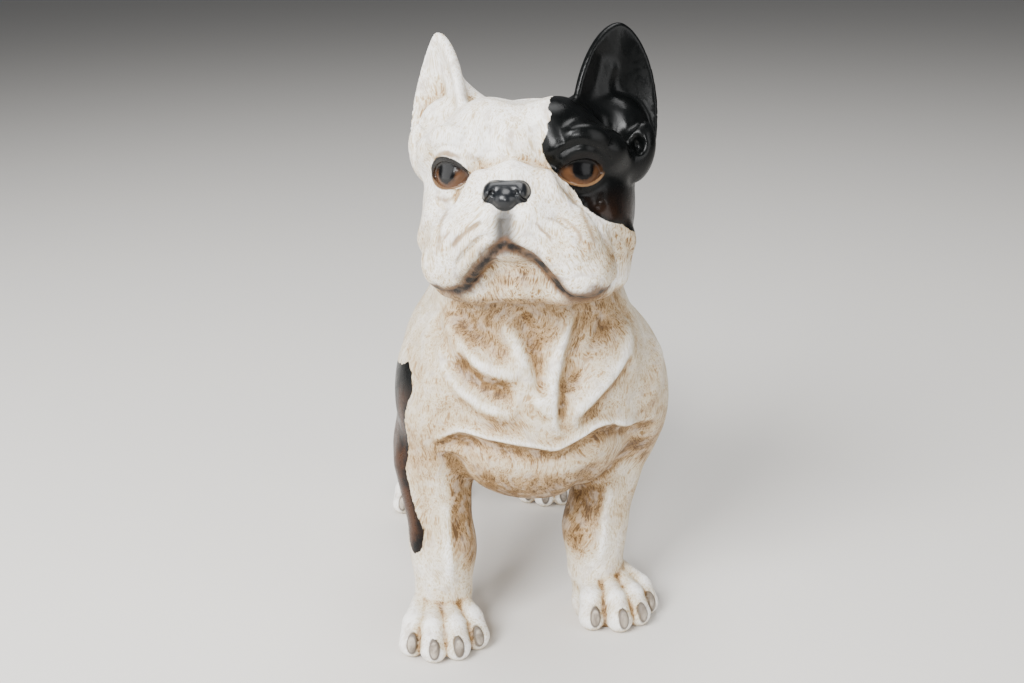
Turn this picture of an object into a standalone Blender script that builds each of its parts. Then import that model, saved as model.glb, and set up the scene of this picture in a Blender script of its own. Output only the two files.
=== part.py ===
"""Standing French bulldog garden statue, cast in resin as one solid piece.

The figure is modelled as a sculptor would work in clay. Lumps and rolls are laid on a stance,
a voxel remesh joins them into one skin, the skin is drawn onto their blended surface, and
strokes then carve the folds. The figure faces -Y, stands on z = 0, and is described in
figure millimetres, which are shares of its height.
"""

import math

import bmesh
import bpy
import numpy as np
from mathutils import Euler, Matrix, Vector

HEIGHT = 0.380  # metres, from the soles to the tip of the taller ear

SKIN_VOXEL = 2.6  # grain of the clay skin before it is thinned out
SKIN_TRIANGLES = 9600
STANDING_CUT = 0.0  # the plane that trims the soles flat

HEAD_CENTRE = Vector((3.5, -83.0, 300.0))
HEAD_TURN = math.radians(19.5)  # towards the dog's right
HEAD_LIFT = math.radians(10.0)
HEAD_TILT = math.radians(1.5)  # the dog's right ear is the lower one

CHEST_SHELF = (
    (-56, -80, 138),
    (-43, -91, 148),
    (-34, -98, 149),
    (-19, -108, 147),
    (-1, -113, 144),
    (13, -113, 141),
    (27, -112, 147),
    (40, -108, 152),
    (50, -103, 150),
    (66, -87, 144),
    (82, -76, 141),
)

MOUTH = (  # from the middle to the dog's left corner, in the head's frame
    (0, -64, -33),
    (9, -58, -42),
    (18, -55, -50),
    (27, -47, -60),
    (37, -42, -65),
    (49, -30, -63),
)
MOUTH_LEAN = -2.8  # how far the middle of the mouth lies to the dog's right
NOSE_LEAN = -1.5
PHILTRUM = ((-1.5, -70, -20), (-2.2, -68, -26), (-2.8, -64, -35))

FRESH_RESIN = (0.78, 0.72, 0.63, 1.0)
SIDES = (-1, 1)
EYE_BALLS = {-1: (-31.6, -28.6, 0.4), 1: (29.8, -28.6, 1.9)}  # centres, in the head's frame
EYE_RADII = (15.5, 14.0, 13.5)
EYE_WIDTH = 26.0  # the opening, between the corners
EYE_OUTWARD = 32.0  # degrees that each eye is turned outwards
UPPER_LID = 9.2  # how far the opening rises above the corners
LOWER_LID = 6.6
EYE_ROUND = 1.35  # 1 makes a pointed almond, 2 an oval
LID = 2.1  # thickness of the lids
TOES = ((-21.5, 25), (-8.2, 35), (7.6, 35), (21.5, 25))  # across and ahead of the heel
SPREAD_TOES = ((-18.5, 26), (-2, 35), (13, 32), (24, 21))
PAWS = (  # heel, turn in degrees, size and toes
    ((-57, -74), 0, 0.94, TOES),
    ((53, -63), 10, 0.94, SPREAD_TOES),
    ((-48, 118), 0, 0.86, TOES),
    ((49, 116), 0, 0.86, TOES),
)
STROKE_TAPER = 0.22  # share of a stroke's length over which each end fades
LEAF_FOOT = 0.3  # how far an ear reaches below its base, as a share of its length
LEAF_FOLD = 1.6  # how sharply an ear folds along its middle: 1 is a crease, 2 is a round trough
LEAF_CLOSE = 0.55  # how much shallower the ear is at its tip
LEAF_EDGE = 0.4  # how round an ear's rim is, as a share of its thickness
BLEND_REACH = 14.0  # how far outside a shape its distance is still asked for
LARGEST_STEP = 3.0  # how far a point of the skin moves at once


def turned(degrees_xyz):
    """A 3 x 3 rotation from degrees about X, Y and Z."""
    return np.array(Euler([math.radians(a) for a in degrees_xyz]).to_matrix())


def lump(centre, radii, turn=(0, 0, 0), soft=8.0):
    """An ellipsoid of clay, blended into the rest over the width soft."""
    return {
        "centre": np.array(centre, float),
        "radii": np.array(radii, float),
        "axes": turned(turn),
        "soft": soft,
        "reach": max(radii),
        "dig": False,
    }


def roll(start, end, start_radius, end_radius, soft=8.0):
    """A tapered roll of clay with round ends."""
    start, end = np.array(start, float), np.array(end, float)
    return {
        "start": start,
        "end": end,
        "ends": (start_radius, end_radius),
        "centre": (start + end) / 2,
        "soft": soft,
        "reach": np.linalg.norm(end - start) / 2 + max(start_radius, end_radius),
        "dig": False,
    }


def rolls(points, radii, soft=8.0):
    """A limb of several rolls end to end."""
    pairs = zip(points, points[1:], radii, radii[1:])
    return [roll(a, b, ra, rb, soft) for a, b, ra, rb in pairs]


def dug(shape):
    """The same shape as a hollow."""
    return {**shape, "dig": True}


def leaf(base, length, half_width, cup, thickness, point, turn=(0, 0, 0), soft=4.0):
    """A cupped leaf that stands up from its base, hollow towards -y.

    The two powers in point shape its outline: 2 and 2 is an ellipse, and less is sharper.
    """
    axes = turned(turn)
    return {
        "leaf": (length, half_width, cup, thickness),
        "point": point,
        "base": np.array(base, float),
        "centre": np.array(base, float) + axes @ np.array((0, 0, length / 2)),
        "axes": axes,
        "soft": soft,
        "reach": math.hypot(length / 2, half_width) + cup,
        "dig": False,
    }


def placed(shape, origin, axes, size=1.0):
    """A shape given in a local frame, sized and moved into the figure's frame."""
    moved = dict(shape)
    for key in ("centre", "start", "end", "base"):
        if key in shape:
            moved[key] = origin + size * (axes @ shape[key])
    for key in ("radii", "ends", "leaf"):
        if key in shape:
            moved[key] = size * np.array(shape[key])
    if "axes" in shape:
        moved["axes"] = axes @ shape["axes"]
    moved["reach"] = size * shape["reach"]
    moved["soft"] = size * shape["soft"]
    return moved


def head_frame():
    """Origin and axes of the head: x to the dog's left, y backwards, z up."""
    axes = Matrix.Rotation(-HEAD_TURN, 3, "Z") @ Matrix.Rotation(-HEAD_LIFT, 3, "X")
    axes = axes @ Matrix.Rotation(-HEAD_TILT, 3, "Y")
    return np.array(HEAD_CENTRE), np.array(axes)


def leaf_distance(points, shape):
    """Signed distance to a leaf: its outline and its cupped sheet, rounded together."""
    length, half_width, cup, thickness = shape["leaf"]
    local = (points - shape["base"]) @ shape["axes"]
    across = local[:, 0] / half_width
    up = np.clip(local[:, 2] / length, 0, 2)
    down = np.clip(-local[:, 2] / (LEAF_FOOT * length), 0, 2)
    wide, tall = shape["point"]
    reach = np.abs(across)
    level = reach**wide + up**tall + down**2 - 1
    rise = tall * up ** (tall - 1) / length + 2 * down / (LEAF_FOOT * length)
    slope = np.hypot(wide * reach ** (wide - 1) / half_width, rise)
    outline = level / np.maximum(slope, 1 / half_width)
    cup = cup * (1 - LEAF_CLOSE * np.minimum(up, 1))
    depth = cup * (1 - reach**LEAF_FOLD)
    lean = np.hypot(1, LEAF_FOLD * cup * reach ** (LEAF_FOLD - 1) / half_width)
    sheet = (np.abs(local[:, 1] - depth) - thickness / 2) / lean
    edge = thickness * LEAF_EDGE
    out, off = np.maximum(outline + edge, 0), np.maximum(sheet + edge, 0)
    return np.minimum(np.maximum(outline, sheet) + edge, 0) + np.hypot(out, off) - edge


def almond_distance(seen):
    """Signed distance to the outline of an eye's opening, seen from the front, negative inside.

    The places are measured from the ball's centre, with x towards the outer corner.
    """
    half = EYE_WIDTH / 2
    x, z = seen[:, 0], seen[:, 2]
    height = np.where(z > 0, UPPER_LID, LOWER_LID)
    level = (x / half) ** 2 + (np.abs(z) / height) ** EYE_ROUND - 1
    rise = EYE_ROUND * (np.abs(z) / height) ** (EYE_ROUND - 1) / height
    return level / np.maximum(np.hypot(2 * x / half**2, rise), 0.5 / half)


def shape_distance(points, shape):
    """Signed distance from each point to one shape, negative inside."""
    if "leaf" in shape:
        return leaf_distance(points, shape)
    if "start" in shape:
        along = shape["end"] - shape["start"]
        away = points - shape["start"]
        share = np.clip(away @ along / (along @ along), 0, 1)
        first, last = shape["ends"]
        gap = np.linalg.norm(away - share[:, None] * along, axis=1)
        return gap - (first + share * (last - first))
    local = (points - shape["centre"]) @ shape["axes"]
    scaled = np.linalg.norm(local / shape["radii"], axis=1)
    slope = np.linalg.norm(local / shape["radii"] ** 2, axis=1)
    gap = scaled * (scaled - 1) / np.maximum(slope, 1e-9)
    if "opening" in shape:
        opening = almond_distance(local * (shape["opening"], 1, 1))
        gap = -blended(-gap, opening, LID / 2)
    return gap


def blended(first, second, soft):
    """The smaller of two distances, with a fillet of width soft."""
    overlap = np.maximum(soft - np.abs(first - second), 0) / soft
    return np.minimum(first, second) - overlap**2 * soft / 4


def clay_distance(points, shapes):
    """Signed distance to the whole blended figure, good near its surface."""
    found = np.full(len(points), 1e3)
    for shape in shapes:
        gaps = np.linalg.norm(points - shape["centre"], axis=1)
        near = np.nonzero(gaps < shape["reach"] + shape["soft"] + BLEND_REACH)[0]
        if not len(near):
            continue
        gap = shape_distance(points[near], shape)
        if shape["dig"]:
            found[near] = -blended(-found[near], gap, shape["soft"])
        else:
            found[near] = blended(found[near], gap, shape["soft"])
    return found


def torso():
    """Ribcage, chest, neck, loin, rump and tail."""
    shapes = [
        lump((6, -10, 158), (60, 88, 58), soft=20),
        lump((9, -66, 137), (58, 46, 47), soft=20),
        lump((13, -66, 178), (65, 50, 46), soft=20),
        lump((8, 0, 184), (45, 82, 42), soft=20),
        lump((3, 62, 156), (42, 76, 45), soft=20),
        lump((1, 98, 158), (42, 54, 50), soft=18),
        roll((9, -44, 205), (5, -62, 258), 60, 53, soft=22),
    ]
    shapes += rolls([(0, 136, 182), (0, 155, 174), (2, 162, 160)], [14, 11, 7], soft=10)
    return shapes


def front_leg(side, shoulder, elbow, wrist, heel):
    """Shoulder, upper arm, forearm and wrist of one front leg."""
    shapes = [
        lump(shoulder, (28, 43, 50), turn=(-14, -side * 6, 0), soft=14),
        lump((elbow[0] + side * 3, elbow[1] + 22, elbow[2] + 6), (20, 20, 24), soft=14),
    ]
    shapes += rolls([elbow, wrist, heel], [24.5, 18.5, 18.5], soft=12)
    back_of_elbow = (elbow[0] - side * 6, elbow[1] + 14, elbow[2] - 14)
    back_of_wrist = (wrist[0] - side * 5, wrist[1] + 20, wrist[2] - 8)
    shapes.append(roll(back_of_elbow, back_of_wrist, 15, 9, soft=8))
    shapes.append(lump((heel[0], heel[1] + 17, heel[2] + 14), (8, 6, 8), soft=5))
    return shapes


def hind_leg(side):
    """Thigh, shank, hock and pastern of one hind leg."""
    shapes = [
        lump((side * 37, 88, 122), (25, 45, 50), turn=(18, 0, 0), soft=14),
        lump((side * 43, 68, 102), (21, 24, 28), soft=14),
    ]
    shapes += rolls(
        [(side * 45, 78, 92), (side * 48, 128, 62), (side * 49, 138, 52)],
        [23, 14, 12],
        soft=10,
    )
    shapes += rolls([(side * 49, 138, 52), (side * 49, 120, 20)], [12, 13], soft=8)
    return shapes


def paw_placed(shapes, heel, turn, size):
    """A paw's shapes, which point along -y from the heel, set where the paw stands."""
    axes = np.array(Matrix.Rotation(math.radians(turn), 3, "Z"))
    return [placed(shape, np.array((*heel, 0.0)), axes, size) for shape in shapes]


def paw_nails(heel, turn, size, toes):
    """The four flat almond nails on the fronts of the toes."""
    nails = []
    for across, ahead in toes:
        middle = (across * 1.03, -ahead - 6.4, 12)
        nails.append(lump(middle, (3.4, 2.6, 7.0), turn=(-14, 0, across * 1.2), soft=0.6))
    return paw_placed(nails, heel, turn, size)


def paw(heel, turn, size, toes):
    """Pad, toes and nails of one paw."""
    shapes = [lump((0, -8, 8), (25, 26, 17), soft=8)]
    moats = []
    for across, ahead in toes:
        bend = (across * 0.88, -ahead * 0.74, 19)
        shapes.append(roll((across * 0.55, -ahead * 0.1, 26), bend, 7, 8.2, soft=3))
        shapes.append(roll(bend, (across, -ahead + 1, 8), 8.2, 9.2, soft=2))
        middle = (across * 1.03, -ahead - 8.8, 12)
        moats.append(dug(lump(middle, (4.9, 2.6, 8.6), turn=(-14, 0, across * 1.2), soft=1)))
    return paw_placed(shapes + moats, heel, turn, size) + paw_nails(heel, turn, size, toes)


def skull():
    """Cranium, brow, cheeks and jaw, in the head's frame."""
    shapes = [
        lump((0, 8, 0), (57, 54, 40), soft=16),
        lump((0, -6, 20), (47, 40, 20), soft=14),
        lump((0, 20, -20), (54, 48, 44), soft=16),
    ]
    for side in SIDES:
        shapes.append(lump((side * 37, -4, -25), (22, 36, 34), soft=14))
        shapes.append(lump((side * 33, -24, 15), (19, 15, 10), soft=14))
        shapes.append(lump((side * 19, -20, 30), (15, 20, 12), soft=10))
        shapes += rolls(
            [(side * 45, -26, -24), (side * 51, -12, -38), (side * 47, -10, -54), (side * 34, -20, -62)],
            [8, 9, 10, 9],
            soft=9,
        )
    return shapes


def muzzle():
    """Nose bridge, nose roll, flews and chin, in the head's frame."""
    shapes = [
        lump((0, -40, -22), (36, 26, 24), soft=12),
        lump((0, -31, -50), (28, 13, 17), soft=5),
    ]
    for side in SIDES:
        drop = 1.5 * side
        shapes += rolls(
            [(0, -35, -60), (side * 24, -31, -62), (side * 43, -20, -61)],
            [8.5, 8.5, 7],
            soft=6,
        )
        shapes += rolls([(side * 9, -55, -20), (side * 36, -43, -48 - drop)], [13, 16], soft=3.5)
        shapes.append(lump((side * 30, -46, -34), (18, 18, 17), turn=(0, side * 40, 0), soft=6))
        shapes.append(lump((side * 42, -36, -48 - drop), (10, 18, 13.5), soft=5))
        shapes += rolls(
            [
                (0, -52, -1),
                (side * 20, -48, -5),
                (side * 34, -41, -20),
                (side * 44, -37, -38),
                (side * 49, -34, -52),
            ],
            [9, 8, 7, 6, 5],
            soft=5,
        )
    return shapes


def nose():
    """The nose pad with its wings and nostrils, in the head's frame."""
    middle = NOSE_LEAN
    shapes = [
        roll((middle - 7.4, -61.5, -5.8), (middle + 7.4, -61.5, -5.8), 4.5, 4.5, soft=2),
        lump((middle, -63, -10.8), (7, 7.5, 6), soft=2),
    ]
    for side in SIDES:
        shapes.append(lump((middle + side * 8.2, -61.5, -8), (4.2, 6.8, 4.8), soft=1.5))
    for side in SIDES:
        shapes.append(dug(lump((middle + side * 6.4, -69, -7), (1.8, 3.6, 2.2), soft=0.8)))
        slit = ((middle + side * 7.6, -68.5, -8.8), (middle + side * 11.5, -63, -12.4))
        shapes.append(dug(roll(*slit, 1.2, 1, soft=0.8)))
    return shapes


def eye(side):
    """Socket, lids and eyeball, in the head's frame."""
    ball = EYE_BALLS[side]
    outward = (0, 0, side * EYE_OUTWARD)
    lids = lump(ball, np.array(EYE_RADII) + LID, turn=outward, soft=3.5)
    lids["opening"] = side
    brow = [(side * 24, -40.5, 15), (side * 37, -37.5, 19), (side * 50, -24.5, 14), (side * 56, -12, 6)]
    return [
        dug(lump((side * 38.5, -44, 1), (16, 9, 12.5), turn=outward, soft=6)),
        lids,
        lump(ball, EYE_RADII, turn=outward, soft=0.3),
        *rolls(brow, [4, 4.5, 4.5, 5], soft=11),
    ]


def ear(side):
    """A cupped bat ear with the small pocket at its outer foot, in the head's frame."""
    dogs_left = side > 0
    length = 63.0 if dogs_left else 60.0
    outward = side * (32.5 if dogs_left else 44.5)
    cup = 14.5 if dogs_left else 18.5
    half_width = 27.2 if dogs_left else 28.0
    base = (side * (48.5 if dogs_left else 53.0), 3, 20)
    point = (1.7, 2.2) if dogs_left else (1.4, 1.8)
    trough_top = (side * 46, -3, 64) if dogs_left else (side * 52, -9, 38)
    trough = [(side * 50, -10, 22), ((side * 50 + trough_top[0]) / 2, -8, trough_top[2] * 0.7), trough_top]
    back, back_radius = ((43.5, 10, 58), 5.5) if dogs_left else ((-46, 8, 57), 3.5)
    lobe = side * (62.5 if dogs_left else 58.5)
    fold = [(lobe + side * 9, 9, 34), (lobe - side * 2, -5, 27), (lobe - side * 10, -11, 20)]
    return [
        lump((side * 46, 14, 20), (21, 20, 24), turn=(0, side * 20, 0), soft=12),
        roll((side * 32, 11, 32), back, 11.5, back_radius, soft=9),
        leaf(
            base,
            length,
            half_width,
            cup=cup,
            thickness=7,
            point=point,
            turn=(3, side * 5, outward),
            soft=4,
        ),
        *[dug(shape) for shape in rolls(trough, [8, 8, 4], soft=6)],
        lump((lobe, -2, 12), (10, 10, 18), turn=(0, side * 12, 0), soft=3),
        *[dug(shape) for shape in rolls(fold, [2.6, 2.8, 2.8], soft=2)],
        dug(lump((lobe + side * 0.5, -12, 15), (4, 6, 6), soft=3)),
    ]


def head():
    """Everything on the head, in the head's frame."""
    shapes = skull() + muzzle() + nose()
    for side in SIDES:
        shapes += ear(side) + eye(side)
    return shapes


def figure():
    """Every lump, roll and hollow of the dog, in the order they are laid on."""
    shapes = torso()
    shapes += front_leg(-1, (-48, -42, 158), (-55, -50, 108), (-52, -64, 56), (-53.5, -70, 28))
    shapes += front_leg(1, (71, -40, 152), (62, -46, 108), (49, -56, 56), (48.5, -60, 28))
    for side in SIDES:
        shapes += hind_leg(side)
    origin, axes = head_frame()
    shapes += [placed(shape, origin, axes) for shape in head()]
    for heel, turn, size, toes in PAWS:
        shapes += paw(heel, turn, size, toes)
    return shapes


def stroke(points, width, depth):
    """A carved line through points near the skin: a ridge, or a groove where depth is negative."""
    return {"points": np.array(points, float), "width": width, "depth": depth}


def mirrored(points):
    """The same points on the dog's other side, in the head's frame."""
    return [(-x, y, z) for x, y, z in points]


def lips(side):
    """The mouth's line from its middle to one corner, in the head's frame."""
    shares = np.linspace(1, 0, len(MOUTH))
    return [(side * x + MOUTH_LEAN * share, y, z) for (x, y, z), share in zip(MOUTH, shares)]


def stroke_weight(points, line, width):
    """How strongly each point feels a stroke: 1 on its line, fading across and at its ends."""
    best = np.full(len(points), 1e9)
    share = np.zeros(len(points))
    lengths = np.maximum(np.linalg.norm(np.diff(line, axis=0), axis=1), 1e-6)
    run = np.concatenate(([0.0], np.cumsum(lengths)))
    for start, end, before, length in zip(line, line[1:], run, lengths):
        along = np.clip((points - start) @ (end - start) / length**2, 0, 1)
        gap = np.linalg.norm(points - start - along[:, None] * (end - start), axis=1)
        nearer = gap < best
        best[nearer] = gap[nearer]
        share[nearer] = (before + along * length)[nearer] / run[-1]
    taper = np.clip(np.minimum(share, 1 - share) / STROKE_TAPER, 0, 1)
    return np.exp(-((best / width) ** 2)) * np.sin(taper * math.pi / 2) ** 0.7


def smooth_line(points, steps=5):
    """A rounder line through the same points."""
    knots = np.vstack((2 * points[0] - points[1], points, 2 * points[-1] - points[-2]))
    line = []
    for a, b, c, d in zip(knots, knots[1:], knots[2:], knots[3:]):
        for t in np.arange(steps) / steps:
            line.append(
                0.5
                * (2 * b + (c - a) * t + (2 * a - 5 * b + 4 * c - d) * t**2 + (3 * b - a - 3 * c + d) * t**3)
            )
    line.append(points[-1])
    return np.array(line)


def on_skin(line, points):
    """The line laid down on the nearest points of the skin, then evened out."""
    nearest = [points[np.argmin(np.sum((points - place) ** 2, axis=1))] for place in line]
    laid = np.array(nearest)
    laid[1:-1] = (laid[:-2] + 2 * laid[1:-1] + laid[2:]) / 4
    return laid


def carve(mesh, strokes):
    """Presses each stroke into the skin, or raises it, along the skin's own normals.

    Gives back the strokes as they were laid on the skin.
    """
    laid = []
    for mark in strokes:
        points, normals = vertex_array(mesh), normal_array(mesh)
        line = on_skin(smooth_line(mark["points"]), points)
        laid.append({**mark, "points": line})
        low = line.min(0) - 3 * mark["width"]
        high = line.max(0) + 3 * mark["width"]
        near = np.nonzero(np.all((points > low) & (points < high), axis=1))[0]
        weight = stroke_weight(points[near], line, mark["width"])
        points[near] += (mark["depth"] * weight)[:, None] * normals[near]
        set_vertices(mesh, points)
    return laid


def body_strokes():
    """The skin folds of throat and chest, and the hollows of the legs."""
    return [
        stroke([(-6, -106, 224), (1, -111, 204), (2, -115, 186), (5, -116, 173)], 7, -5),
        stroke([(24, -105, 226), (17, -112, 203), (11, -117, 179), (13, -115, 146)], 5.5, 3.5),
        stroke([(36, -100, 222), (23, -111, 201), (17, -116, 175), (17, -114, 150)], 6, -4),
        stroke([(60, -86, 210), (53, -104, 188), (35, -113, 172), (18, -115, 154)], 7.5, 4.5),
        stroke([(47, -96, 216), (34, -110, 198), (20, -116, 174)], 7, -3.5),
        stroke([(62, -98, 188), (44, -110, 170), (25, -114, 154)], 7, -3.5),
        stroke([(88, -60, 190), (85, -70, 176), (71, -86, 156), (50, -103, 149)], 10, 4),
        stroke([(-46, -72, 218), (-35, -97, 197), (-23, -107, 191), (-7, -113, 189)], 7, 4),
        stroke([(-40, -84, 222), (-26, -101, 205), (-11, -110, 199)], 7, -3.5),
        stroke([(-50, -74, 206), (-45, -92, 182), (-32, -103, 171), (-10, -113, 162)], 7, 4),
        stroke([(-42, -91, 195), (-30, -104, 181), (-10, -114, 175)], 7, -3.5),
        stroke([(-52, -60, 214), (-56, -78, 184), (-50, -89, 160)], 8, 3),
        stroke([(-17, -103, 222), (-9, -109, 205), (-3, -114, 188), (8, -116, 162)], 5, 2.5),
        stroke(CHEST_SHELF, 3.6, 3.2),
        stroke([(x, y, z - 8) for x, y, z in CHEST_SHELF], 5.5, -3.4),
        stroke([(-46, -84, 130), (-38, -72, 108), (-36, -60, 92)], 7, -3),
        stroke([(34, -105, 124), (30, -90, 102), (30, -60, 84)], 7, -3),
        stroke([(-50, -76, 94), (-50, -82, 70), (-52, -87, 37)], 4, 1.5),
        stroke([(-64, -72, 112), (-62, -77, 82), (-65, -80, 52)], 5, -1.5),
        stroke([(55, -72, 95), (50, -77, 63), (47, -77, 40)], 4, 1.5),
    ]


def head_strokes():
    """The creases of muzzle, brow and cheeks, carved alike on both sides."""
    strokes = [
        stroke(PHILTRUM, 2.4, -2.2),
        stroke([(0, -30, 40), (0, -10, 44), (0, 14, 42)], 14, -2.5),
    ]
    paired = [
        ([(20, -44, 4), (25, -47, 12), (36, -47, 17), (47, -40, 13), (52, -32, 4)], 2.2, -1.3),
        ([(24, -46, -9), (31, -47, -13), (39, -45, -14.5), (47, -39, -11)], 2.2, -1.2),
        ([(12, -67, -23), (23, -65, -28), (31, -62, -37)], 1.8, -1.4),
        ([(11, -66, -29), (21, -63, -37), (30, -61, -47)], 1.8, -1.4),
        ([(24, -60, -18), (33, -62, -27), (40, -60, -39)], 1.8, -1.2),
        ([(0, -49, 11), (20, -46, 6), (33, -46, -6), (46, -44, -25), (54, -38, -44)], 3.2, -2.5),
        ([(12, -44, 28), (14, -46, 18), (12, -47, 10)], 4, -1.5),
        ([(26, -42, 20), (38, -40, 23), (48, -32, 18)], 4.5, 2),
        ([(28, -50, -14), (38, -45, -17), (48, -36, -12)], 3, -1.5),
        ([(50, -38, -28), (59, -26, -34), (62, -14, -46), (56, -14, -60)], 4, -1.5),
    ]
    for side in SIDES:
        strokes.append(stroke(lips(side), 3.2, -4.2))
    for points, width, depth in paired:
        strokes.append(stroke(points, width, depth))
        strokes.append(stroke(mirrored(points), width, depth))
    return strokes


def strokes():
    """Every carved stroke, in the figure's frame."""
    origin, axes = head_frame()
    moved = [{**mark, "points": origin + mark["points"] @ axes.T} for mark in head_strokes()]
    return body_strokes() + moved


def clay_mesh(shapes):
    """The solid shapes as overlapping closed shells in one mesh."""
    bm = bmesh.new()
    for shape in shapes:
        if shape["dig"]:
            continue
        if "leaf" in shape:
            length, half_width, cup, thickness = shape["leaf"]
            axes = Matrix(shape["axes"].tolist()).to_4x4()
            middle = Vector(shape["centre"] + shape["axes"] @ np.array((0, cup / 2, 0)))
            scale = Matrix.Diagonal((half_width * 0.9, cup * 0.8, length * 0.47, 1.0))
            where = Matrix.Translation(middle) @ axes @ scale
            bmesh.ops.create_icosphere(bm, subdivisions=4, radius=1.0, matrix=where)
        elif "start" in shape:
            start, end = Vector(shape["start"]), Vector(shape["end"])
            for point, radius in zip((start, end), shape["ends"]):
                bmesh.ops.create_icosphere(
                    bm, subdivisions=3, radius=radius, matrix=Matrix.Translation(point)
                )
            along = end - start
            facing = along.to_track_quat("Z", "Y").to_matrix().to_4x4()
            bmesh.ops.create_cone(
                bm,
                cap_ends=True,
                segments=24,
                radius1=shape["ends"][0],
                radius2=shape["ends"][1],
                depth=along.length,
                matrix=Matrix.Translation((start + end) / 2) @ facing,
            )
        else:
            axes = Matrix(shape["axes"].tolist()).to_4x4()
            scale = Matrix.Diagonal((*shape["radii"], 1.0))
            where = Matrix.Translation(Vector(shape["centre"]))
            bmesh.ops.create_icosphere(bm, subdivisions=4, radius=1.0, matrix=where @ axes @ scale)
    mesh = bpy.data.meshes.new("clay")
    bm.to_mesh(mesh)
    bm.free()
    return mesh


def evaluated(mesh, modifier_type, **settings):
    """The mesh that one modifier makes of this one."""
    holder = bpy.data.objects.new("holder", mesh)
    bpy.context.scene.collection.objects.link(holder)
    modifier = holder.modifiers.new(modifier_type.title(), modifier_type)
    for name, value in settings.items():
        setattr(modifier, name, value)
    graph = bpy.context.evaluated_depsgraph_get()
    made = bpy.data.meshes.new_from_object(holder.evaluated_get(graph))
    bpy.data.objects.remove(holder)
    return made


def vertex_array(mesh):
    """The mesh's points as an n x 3 array."""
    flat = np.empty(len(mesh.vertices) * 3, np.float32)
    mesh.vertices.foreach_get("co", flat)
    return flat.reshape(-1, 3).astype(float)


def normal_array(mesh):
    """The mesh's vertex normals as an n x 3 array."""
    flat = np.empty(len(mesh.vertices) * 3, np.float32)
    mesh.vertex_normals.foreach_get("vector", flat)
    return flat.reshape(-1, 3).astype(float)


def set_vertices(mesh, points):
    """Moves the mesh's vertices to these places."""
    mesh.vertices.foreach_set("co", points.astype(np.float32).ravel())
    mesh.update()


def neighbour_mean(mesh, values):
    """The mean of each vertex's neighbours, for any array of vertex values."""
    ends = np.empty(len(mesh.edges) * 2, np.int32)
    mesh.edges.foreach_get("vertices", ends)
    first, second = ends.reshape(-1, 2).T
    count = np.bincount(ends, minlength=len(values))
    total = np.empty_like(values)
    for axis in range(values.shape[1]):
        total[:, axis] = np.bincount(first, values[second, axis], len(values))
        total[:, axis] += np.bincount(second, values[first, axis], len(values))
    return total / np.maximum(count, 1)[:, None]


def settle(mesh, shapes, passes):
    """Draws the skin onto the blended surface of the clay, keeping its points evenly spread."""
    for _ in range(passes):
        points, normals = vertex_array(mesh), normal_array(mesh)
        drift = neighbour_mean(mesh, points) - points
        drift -= np.sum(drift * normals, axis=1)[:, None] * normals
        points += 0.5 * drift
        gap = np.clip(clay_distance(points, shapes), -LARGEST_STEP, LARGEST_STEP)
        set_vertices(mesh, points - gap[:, None] * normals)


def skin(shapes, voxel):
    """One closed skin over all the clay."""
    mesh = evaluated(clay_mesh(shapes), "REMESH", mode="VOXEL", voxel_size=voxel)
    settle(mesh, shapes, 8)
    mesh = evaluated(mesh, "REMESH", mode="VOXEL", voxel_size=voxel)
    settle(mesh, shapes, 5)
    return mesh


def trimmed_flat(mesh, level):
    """Cuts the soles off flat at a height and closes them."""
    bm = bmesh.new()
    bm.from_mesh(mesh)
    bmesh.ops.bisect_plane(
        bm,
        geom=bm.verts[:] + bm.edges[:] + bm.faces[:],
        plane_co=(0, 0, level),
        plane_no=(0, 0, -1),
        clear_outer=True,
    )
    rim = [edge for edge in bm.edges if edge.is_boundary]
    bmesh.ops.holes_fill(bm, edges=rim)
    bmesh.ops.triangulate(bm, faces=bm.faces[:])
    bm.to_mesh(mesh)
    bm.free()


def resin():
    """Painted cast resin, as the plain colour of the whole figure."""
    material = bpy.data.materials.new("painted_resin")
    material.use_nodes = True
    shader = material.node_tree.nodes["Principled BSDF"]
    shader.inputs["Base Color"].default_value = FRESH_RESIN
    shader.inputs["Roughness"].default_value = 0.7
    shader.inputs["Metallic"].default_value = 0.0
    return material


def stood(points, height):
    """The matrix that scales the figure to a height and stands it on the origin."""
    low, high = points.min(0), points.max(0)
    foot = Vector(((low[0] + high[0]) / 2, (low[1] + high[1]) / 2, low[2]))
    return Matrix.Scale(height / (high[2] - low[2]), 4) @ Matrix.Translation(-foot)


def main():
    """Builds the figure as one solid."""
    for old in list(bpy.data.objects):
        bpy.data.objects.remove(old)
    mesh = skin(figure(), SKIN_VOXEL)
    carve(mesh, strokes())
    mesh = evaluated(mesh, "DECIMATE", ratio=SKIN_TRIANGLES / (2 * len(mesh.polygons)))
    trimmed_flat(mesh, STANDING_CUT)
    mesh.transform(stood(vertex_array(mesh), HEIGHT))
    mesh.name = "bulldog"
    mesh.materials.append(resin())
    mesh.shade_smooth()
    dog = bpy.data.objects.new("bulldog", mesh)
    bpy.context.scene.collection.objects.link(dog)


if __name__ == "__main__":
    main()
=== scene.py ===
"""Dresses the bulldog garden statue in its hand-painted skin.

The dog is one casting, so it is one piece here. It is laid up again from the same clay shapes as
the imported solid, at a finer grain, carved, and painted: white brushed thinly over tan, glossy
black patches, nose and eyes, and horn-grey nails.
"""

import math
from functools import partial

import bmesh
import bpy
import numpy as np
from mathutils import Euler, Matrix, Vector
from mathutils.kdtree import KDTree


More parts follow.
